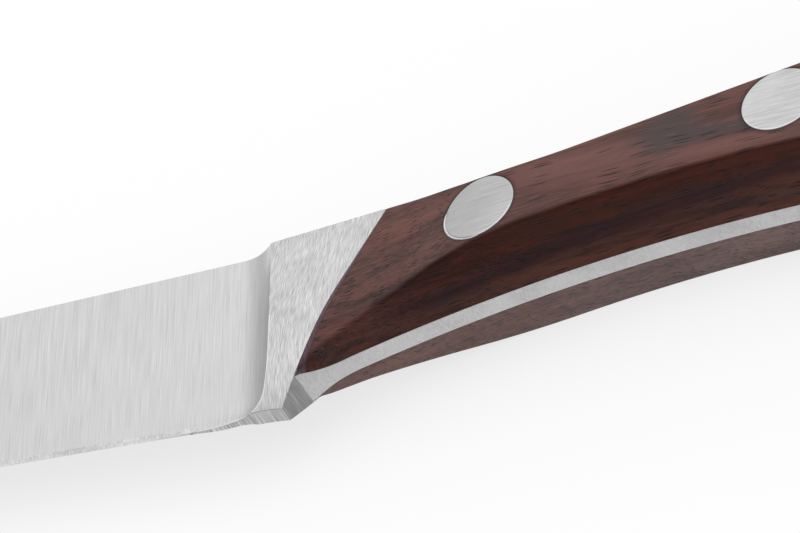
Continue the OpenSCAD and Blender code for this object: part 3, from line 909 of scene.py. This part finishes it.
# Points of a scale's section in five stretches, each with t from 0 to 1: up the lower bevel,
# round the lower ridge, across the side, round the upper ridge and down the upper bevel
def woodSection(x, stretch, t):
    s, slope, plate = scale, outline["bevelSlope"], outline["tangHalf"]
    low, high = bellyLine(x), backLine(x)
    yLow, zLow = ridgePoint(x, low, 1)
    crown = crownLine(x)
    yHigh, zHigh = ridgePoint(x, crown, -1)
    inner, top = tangHeight(x, low), tangHeight(x, high) + s["seatGap"]
    # the upper bevel ends one column early, on a narrow level strip beside the tang
    pace = (s["columns"][-1] - 1) / (s["columns"][-1] - 2)
    zEnd = np.maximum(plate + (crown - high) / slope, top)
    yEnd = crown - slope * (zEnd - plate)
    front = np.clip((s["softEnd"] - x) / (s["softEnd"] - s["softFull"]), 0, 1)
    softLow = s["lowerRidge"] + (s["softRidge"] - s["lowerRidge"]) * front
    onSide = s["sideRoom"] * (yHigh - yLow)
    onBevel = lambda depth: np.maximum(s["bevelRoom"] * depth, s["leastRidge"])
    softLow = np.minimum(np.minimum(softLow, onSide), onBevel(zLow - inner))
    softHigh = np.minimum(np.minimum(s["upperRidge"], onSide), onBevel(zHigh - zEnd))
    zLowIn, zHighIn = (z - soft / math.hypot(1, slope) for z, soft in ((zLow, softLow), (zHigh, softHigh)))
    yLowIn, yHighIn = low + slope * (zLowIn - plate), crown - slope * (zHighIn - plate)
    yLowOut, yHighOut = yLow + softLow, yHigh - softHigh
    zLowOut, zHighOut = woodHeight(x, yLowOut), woodHeight(x, yHighOut)
    line = lambda p, q: p + (q - p) * t
    curve = lambda p, c, q: bend(p, c, q, t)
    across = line(yLowOut, yHighOut)
    down = lambda p, q: p + (q - p) * np.minimum(pace * t, 1)
    which = [stretch == k for k in range(5)]
    y = np.select(which, [line(low, yLowIn), curve(yLowIn, yLow, yLowOut), across,
                          curve(yHighOut, yHigh, yHighIn), down(yHighIn, yEnd)])
    z = np.select(which, [line(inner, zLowIn), curve(zLowIn, zLow, zLowOut), woodHeight(x, across),
                          curve(zHighOut, zHigh, zHighIn), np.where(t < 1, down(zHighIn, zEnd), top)])
    return y, z


# Stations lean with the joint, spread with its chamfer and straighten towards the butt.
# The inner side follows the tang
def makeScale(name, side, material):
    s = scale
    end, join = outline["length"] - outline["buttGap"], outline["jointTop"]
    cut = np.linspace(0, 1, s["chamferLines"])
    nearJoint = s["darkLine"] * np.array(s["darkLineSteps"])
    body = s["bodyFrom"] + (s["bodyRun"] - join) * np.linspace(0, 1, s["bodyLines"]) ** s["bodyEase"]
    run = np.concatenate([0 * cut, nearJoint, body])
    turn = np.linspace(0, math.pi / 2, s["buttLines"])
    butt = s["uprightFrom"] + (end - s["uprightFrom"]) * np.sin(turn)
    fade = np.clip(1 - run[len(cut):] / s["spreadEnd"], 0, 1)
    spread = np.concatenate([cut, fade, 0 * butt])[:, None] / math.cos(jointLean)
    centre = np.concatenate([join + run, butt])[:, None]
    lean = np.clip(1 - (centre - join - s["leanFrom"]) / s["leanRun"], 0, 1) * jointSlope
    count = sum(s["columns"])
    stretch = np.repeat(np.arange(5), s["columns"])[None]
    t = np.concatenate([np.linspace(0, 1, m + 2)[1:-1] if k in (1, 3) else np.linspace(0, 1, m)
                        for k, m in enumerate(s["columns"])])[None]
    lineX = lambda y: np.minimum(centre + lean * y + spread * chamferWidth(y), end)
    x = np.repeat(centre - s["firstDepth"] * lean, count, 1)        # a first guess, then by steps
    for step in range(12):
        y, z = woodSection(x, stretch, t)
        x = lineX(y)
    f = (np.arange(count) + 0.5)[None] / count
    yIn = y[:, :1] + (y[:, -1:] - y[:, :1]) * f
    xIn = lineX(yIn)
    inside = np.stack([xIn, yIn, tangHeight(xIn, yIn) + s["seatGap"]], -1)
    grid = np.concatenate([np.stack([x, y, z], -1), inside[:, ::-1]], 1)
    rows, cols = grid.shape[:2]
    quads = ringQuads(rows, cols)
    row, chamferRows = np.arange(rows - 1), len(cut) - 1
    # the chamfer takes the end grain, the first row behind it the dark line
    marks = np.repeat(np.where(row < chamferRows, 1, np.where(row == chamferRows, 2, 0)), cols)
    k = np.arange(count - 1)
    for first, finish in ((0, 1), ((rows - 1) * cols, 0)):
        quads = np.concatenate([quads, first + np.stack([k, k + 1, cols - 2 - k, cols - 1 - k], -1)])
        marks = np.concatenate([marks, np.full(count - 1, finish)])
    piece = build(name, toRow((grid * [1, 1, side]).reshape(-1, 3)), quads, marks)
    for finish in (material, endGrain, jointDarkLine):
        piece.data.materials.append(finish)
    return piece


leftScale = makeScale("leftScaleWood", 1, leftWood)
rightScale = makeScale("rightScaleWood", -1, rightWood)
print("scales:", len(leftScale.data.polygons), "faces each")

# Rivets

# A half rivet: its head follows the handle's surface inside a rounded rim,
# then wall, seat and shank are turned. The rim of the front head was smeared out
# over the wood on one side, into a low lip. The rim's lower side, and two rows of that lip,
# take a brighter steel: a painted highlight
def makeRivet(name, place, side, tube, lip=False):
    r = rivet
    angle = np.linspace(0, 2 * math.pi, r["steps"], endpoint=False)
    turn = np.radians(r["rimTurn"])[:, None]
    away = np.abs((angle - r["lipAt"] + math.pi) % (2 * math.pi) - math.pi) / r["lipHalf"]
    smear = np.sqrt(np.clip(1 - away ** 2, 0, 1)) if lip else 0 * angle
    rim = r["headRadius"] - r["rim"] + r["rim"] * np.sin(turn)
    drop = r["rim"] * (1 - np.cos(turn))
    rim = rim + (np.array(r["lipRadius"])[:, None] - rim) * smear
    drop = drop + (np.array(r["lipDrop"])[:, None] - drop) * smear
    face = np.linspace(0, r["headRadius"] - r["rim"] - r["faceGap"], r["faceRows"])[:, None] + 0 * angle
    radius = np.concatenate([face, rim])
    top = np.stack([place[0] + radius * np.cos(angle), place[1] + radius * np.sin(angle), radius], -1)
    top[..., 2] = palmHeight(top[..., 0], top[..., 1]) - np.concatenate([0 * face, drop])
    body = [(r["headRadius"], r["seat"])]
    if tube:
        hole = r["postRadius"] + r["gap"]
        body += [(r["socketRadius"], r["seat"]), (r["socketRadius"], r["tubeEnd"]), (hole, r["tubeEnd"]),
                 (hole, r["tubeFloor"]), (0, r["tubeFloor"])]
    else:
        tip = r["postEnd"] - r["postTip"]
        body += [(r["postRadius"], r["seat"]), (r["postRadius"], r["postEnd"]),
                 (r["postRadius"] - r["postTip"], tip), (0, tip)]
    body = np.array(body)
    rest = turnedGrid(place, body[:, 0], body[:, 1:], r["steps"])
    grid = np.concatenate([top, rest]) * [1, 1, side]
    quads = ringQuads(len(grid), r["steps"])
    past = np.arange(len(grid) - 1)[:, None] - len(face)        # rows past the face
    # painted highlight: the rim on its lower side, or two rows of the lip, take the brighter rim steel
    low = np.abs(angle - r["highlightAt"]) < r["highlightHalf"]
    paintedHighlight = np.where(smear > r["lipHighlightFrom"], (past == 2) | (past == 3), (past == -1) & low)
    piece = build(name, toRow(grid.reshape(-1, 3)), quads, np.where(paintedHighlight, 1, 0).reshape(-1))
    for finish in ("steelFrontRivet" if lip else "steelAlongRivet", "steelRimHighlight"):
        piece.data.materials.append(steels[finish])
    return piece


# The tool that opens a piece for the rivets: heads' seats in a scale, or only the shanks' holes in the tang
def boreTool(side, heads):
    r = rivet
    points, quads, first = [], [], 0
    hole, wide, far = r["socketRadius"] + r["gap"], r["headRadius"] + r["gap"], r["boreReach"]
    seat = [(hole, r["seat"]), (wide, r["seat"]), (wide, far)] if heads else [(hole, far)]
    shape = np.array([(0, -far), (hole, -far), *seat, (0, far)])
    for place in r["places"].values():
        grid = turnedGrid(place, shape[:, 0], shape[:, 1:], r["steps"]) * [1, 1, side]
        points.append(grid.reshape(-1, 3))
        quads.append(ringQuads(len(shape), r["steps"], first))
        first += grid.shape[0] * grid.shape[1]
    quads = np.concatenate(quads)
    return build("boreTool", toRow(np.concatenate(points)), quads, np.zeros(len(quads), int))


bore(leftScale, boreTool(1, True))
bore(rightScale, boreTool(-1, True))
bore(knifeForging, boreTool(1, False))
rivets = {}
for spot, place in rivet["places"].items():
    rivets[spot + "_rivet_post"] = makeRivet(spot + "RivetPost", place, 1, False, spot == "front")
    rivets[spot + "_rivet_socket"] = makeRivet(spot + "RivetSocket", place, -1, True)
print("rivets:", len(rivets), "halves")

# Each piece rides on the knife and stands for its node

made = {"forged_blade": (knifeForging, "blade_steel"), "left_scale": (leftScale, "rosewood"),
        "right_scale": (rightScale, "rosewood")}
made.update({node: (piece, "rivet_steel") for node, piece in rivets.items()})
for node, (piece, finish) in made.items():
    shade(piece)
    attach(piece, "root")
    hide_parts(node)
print("pieces placed:", len(made))

# Floor, light and camera

studio = {
    "floorReach": 3.0, "floorTop": -2e-5, "floorTone": 0.55, "shadow": 0.26, "shadowReach": 0.05,
    "skyAim": (0.2, 0.5, 0.84), "skySpan": (-0.44, 0.9), "sky": (0.06, 1.15),
    "sideSpan": (-0.7, 0.1), "side": (0.45, 1.0),
    "eye": (191.974, -281.617, 268.885), "lens": 188.4866,
    "right": (0.88439117, 0.14256677, -0.44444008),
    "down": (-0.19894866, -0.74623105, -0.63526266),
    "ahead": (-0.42222233, 0.65024144, -0.63159668),
}


def makeFloor():
    mesh = bpy.data.meshes.new("paleFloor")
    far, top = studio["floorReach"], studio["floorTop"]
    corners = [(-far, -far, top), (far, -far, top), (far, far, top), (-far, far, top)]
    mesh.from_pydata(corners, [], [(0, 1, 2, 3)])
    floor = addObject("paleFloor", mesh)
    material, tree, shader = newMaterial("paleFloor")
    tone = studio["floorTone"]
    shader.inputs["Base Color"].default_value = (tone, tone, tone, 1)
    shader.inputs["Roughness"].default_value = 0.9
    shader.inputs["Specular IOR Level"].default_value = 0.0
    # the soft shadow that stays on the white
    near = addNode(tree, "ShaderNodeAmbientOcclusion", samples=16)
    near.inputs["Distance"].default_value = studio["shadowReach"]
    glow = addNode(tree, "ShaderNodeEmission")
    veil = addMix(tree, studio["shadow"], (1.0, 1.0, 1.0), near.outputs["Color"])
    tree.links.new(veil, glow.inputs["Color"])
    path = addNode(tree, "ShaderNodeLightPath")
    seen = addMath(tree, "MAXIMUM", path.outputs["Is Camera Ray"], path.outputs["Is Glossy Ray"])
    seen = addMath(tree, "MAXIMUM", seen, path.outputs["Is Transmission Ray"])
    mix = addNode(tree, "ShaderNodeMixShader")
    tree.links.new(seen, mix.inputs[0])
    tree.links.new(shader.outputs[0], mix.inputs[1])
    tree.links.new(glow.outputs[0], mix.inputs[2])
    tree.links.new(mix.outputs[0], tree.nodes["Material Output"].inputs["Surface"])
    floor.data.materials.append(material)


# Soft studio: bright above and behind the knife's back, dimmer on the side of its edge
def makeWorld():
    world = bpy.data.worlds.new("softStudio")
    bpy.context.scene.world = world
    world.use_nodes = True
    tree = world.node_tree
    place = addNode(tree, "ShaderNodeTexCoord").outputs["Generated"]
    aim = addMeasure(tree, "DOT_PRODUCT", place, studio["skyAim"])
    sky = addRange(tree, aim, *studio["skySpan"], *studio["sky"])
    side = addRange(tree, addSplit(tree, place)[1], *studio["sideSpan"], *studio["side"])
    level = addMath(tree, "MULTIPLY", sky, side)
    tree.nodes["Background"].inputs["Color"].default_value = (1, 1, 1, 1)
    tree.links.new(level, tree.nodes["Background"].inputs["Strength"])


def makeCamera():
    eye = toRow(studio["eye"])
    camera = bpy.data.cameras.new("photoCamera")
    camera.lens = studio["lens"]
    camera.sensor_width = 36
    camera.sensor_fit = "HORIZONTAL"
    camera.clip_start = 0.01
    holder = addObject("photoCamera", camera)
    axes = np.array([studio["right"], -np.array(studio["down"]), -np.array(studio["ahead"])]).T
    pose = Matrix.Identity(4)
    for row in range(3):
        pose[row][:3] = axes[row].tolist()
        pose[row][3] = eye[row]
    holder.matrix_world = pose
    bpy.context.scene.camera = holder


makeFloor()
makeWorld()
makeCamera()
bpy.context.scene.view_settings.view_transform = "Standard"
bpy.context.view_layer.update()
print("studio set")
